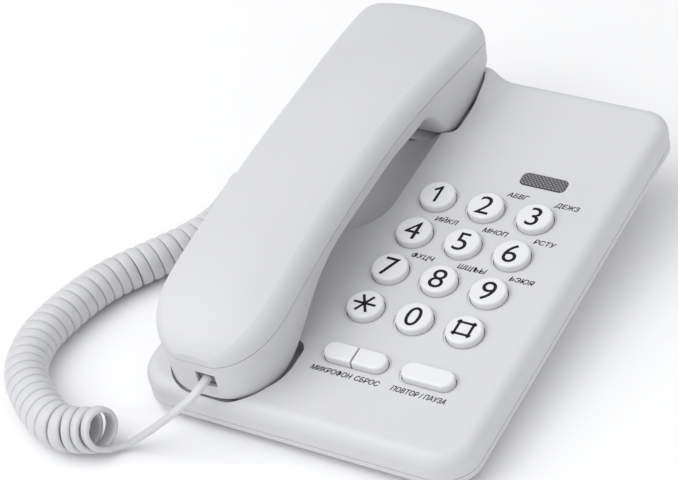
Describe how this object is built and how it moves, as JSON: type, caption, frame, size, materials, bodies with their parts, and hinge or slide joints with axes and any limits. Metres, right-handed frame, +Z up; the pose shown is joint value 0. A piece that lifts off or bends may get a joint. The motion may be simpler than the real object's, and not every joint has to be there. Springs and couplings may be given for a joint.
{
  "type": "corded desk telephone",
  "caption": "Wedge-shaped corded desk telephone with a round-key dial pad, function keys, ring lamp, and a handset resting in its cradle on a curly cord.",
  "frame": {"origin": "on the table, under the middle of the base and handset", "axes": "+Z up, +Y to the back of the phone, +X to its right, as the user faces it"},
  "size_m": [0.1936, 0.2201, 0.0673],
  "materials": {
    "case_plastic": "fine satin texture",
    "key_plastic": "satin",
    "lens_plastic": "gloss with a fine diamond texture",
    "black_rubber": "matt",
    "grey_rubber": "matt",
    "circuit_board": "satin",
    "steel": "bright",
    "black_plastic": "satin",
    "clear_plastic": "clear gloss",
    "cord_jacket": "soft satin",
    "lamp_plastic": "gloss"
  },
  "bodies": {
    "base": {"base_bottom_cover": "case_plastic", "base_cord_jack": "black_plastic", "base_plug": "clear_plastic", "base_top_shell": "case_plastic", "board_screws": "steel", "case_screws": "steel", "cord_tail_base": "cord_jacket", "cord_tail_handset": "cord_jacket", "curly_cord_coil": "cord_jacket", "foot_back_left": "black_rubber", "foot_back_right": "black_rubber", "foot_front_left": "black_rubber", "foot_front_right": "black_rubber", "hook_pin": "steel", "hook_spring": "steel", "hook_switch": "black_plastic", "keypad_membrane": "grey_rubber", "line_jack": "black_plastic", "main_board": "circuit_board", "ring_lamp": "lamp_plastic", "ring_lens": "lens_plastic", "ringer_buzzer": "black_plastic", "tone_switch_body": "black_plastic", "volume_switch_body": "black_plastic"},
    "handset": {"handset_upper_shell": "case_plastic", "handset_lower_shell": "case_plastic", "receiver_capsule": "black_plastic", "microphone": "steel", "microphone_cup": "grey_rubber", "handset_weight": "steel", "handset_jack": "black_plastic", "handset_screws": "steel", "handset_plug": "clear_plastic"},
    "hook": {"hook_lever": "key_plastic"},
    "volume_knob": {"volume_switch_knob": "key_plastic"},
    "tone_knob": {"tone_switch_knob": "key_plastic"},
    "key_0_body": {"key_0": "key_plastic"},
    "key_1_body": {"key_1": "key_plastic"},
    "key_2_body": {"key_2": "key_plastic"},
    "key_3_body": {"key_3": "key_plastic"},
    "key_4_body": {"key_4": "key_plastic"},
    "key_5_body": {"key_5": "key_plastic"},
    "key_6_body": {"key_6": "key_plastic"},
    "key_7_body": {"key_7": "key_plastic"},
    "key_8_body": {"key_8": "key_plastic"},
    "key_9_body": {"key_9": "key_plastic"},
    "key_flash_body": {"key_flash": "key_plastic"},
    "key_hash_body": {"key_hash": "key_plastic"},
    "key_mute_body": {"key_mute": "key_plastic"},
    "key_redial_body": {"key_redial": "key_plastic"},
    "key_star_body": {"key_star": "key_plastic"}
  },
  "joints": [
    {"name": "handset_lift", "type": "slide", "parent": "base", "child": "handset", "axis": [0, -0.1045, 0.9945], "range_m": [0, 0.08], "deforming": ["cord_tail_handset"]},
    {"name": "hook_hinge", "type": "hinge", "parent": "base", "child": "hook", "pos_m": [-0.024, 0.04063, 0.01295], "axis": [1, 0, 0], "range_deg": [0, 5], "deforming": ["hook_spring"]},
    {"name": "key_0_press", "type": "slide", "parent": "base", "child": "key_0_body", "axis": [0, 0.1045, -0.9945], "range_m": [0, 0.0015], "stiffness_N_per_m": 400},
    {"name": "key_1_press", "type": "slide", "parent": "base", "child": "key_1_body", "axis": [0, 0.1045, -0.9945], "range_m": [0, 0.0015], "stiffness_N_per_m": 400},
    {"name": "key_2_press", "type": "slide", "parent": "base", "child": "key_2_body", "axis": [0, 0.1045, -0.9945], "range_m": [0, 0.0015], "stiffness_N_per_m": 400},
    {"name": "key_3_press", "type": "slide", "parent": "base", "child": "key_3_body", "axis": [0, 0.1045, -0.9945], "range_m": [0, 0.0015], "stiffness_N_per_m": 400},
    {"name": "key_4_press", "type": "slide", "parent": "base", "child": "key_4_body", "axis": [0, 0.1045, -0.9945], "range_m": [0, 0.0015], "stiffness_N_per_m": 400},
    {"name": "key_5_press", "type": "slide", "parent": "base", "child": "key_5_body", "axis": [0, 0.1045, -0.9945], "range_m": [0, 0.0015], "stiffness_N_per_m": 400},
    {"name": "key_6_press", "type": "slide", "parent": "base", "child": "key_6_body", "axis": [0, 0.1045, -0.9945], "range_m": [0, 0.0015], "stiffness_N_per_m": 400},
    {"name": "key_7_press", "type": "slide", "parent": "base", "child": "key_7_body", "axis": [0, 0.1045, -0.9945], "range_m": [0, 0.0015], "stiffness_N_per_m": 400},
    {"name": "key_8_press", "type": "slide", "parent": "base", "child": "key_8_body", "axis": [0, 0.1045, -0.9945], "range_m": [0, 0.0015], "stiffness_N_per_m": 400},
    {"name": "key_9_press", "type": "slide", "parent": "base", "child": "key_9_body", "axis": [0, 0.1045, -0.9945], "range_m": [0, 0.0015], "stiffness_N_per_m": 400},
    {"name": "key_flash_press", "type": "slide", "parent": "base", "child": "key_flash_body", "axis": [0, 0.1045, -0.9945], "range_m": [0, 0.0015], "stiffness_N_per_m": 400},
    {"name": "key_hash_press", "type": "slide", "parent": "base", "child": "key_hash_body", "axis": [0, 0.1045, -0.9945], "range_m": [0, 0.0015], "stiffness_N_per_m": 400},
    {"name": "key_mute_press", "type": "slide", "parent": "base", "child": "key_mute_body", "axis": [0, 0.1045, -0.9945], "range_m": [0, 0.0015], "stiffness_N_per_m": 400},
    {"name": "key_redial_press", "type": "slide", "parent": "base", "child": "key_redial_body", "axis": [0, 0.1045, -0.9945], "range_m": [0, 0.0015], "stiffness_N_per_m": 400},
    {"name": "key_star_press", "type": "slide", "parent": "base", "child": "key_star_body", "axis": [0, 0.1045, -0.9945], "range_m": [0, 0.0015], "stiffness_N_per_m": 400},
    {"name": "volume_slide", "type": "slide", "parent": "base", "child": "volume_knob", "axis": [1, 0, 0], "range_m": [0, 0.004]},
    {"name": "tone_slide", "type": "slide", "parent": "base", "child": "tone_knob", "axis": [1, 0, 0], "range_m": [0, 0.004]}
  ],
  "couplings": [
    {"joint": "hook_hinge", "follows": "handset_lift", "rad_per_m": 1.0908}
  ]
}
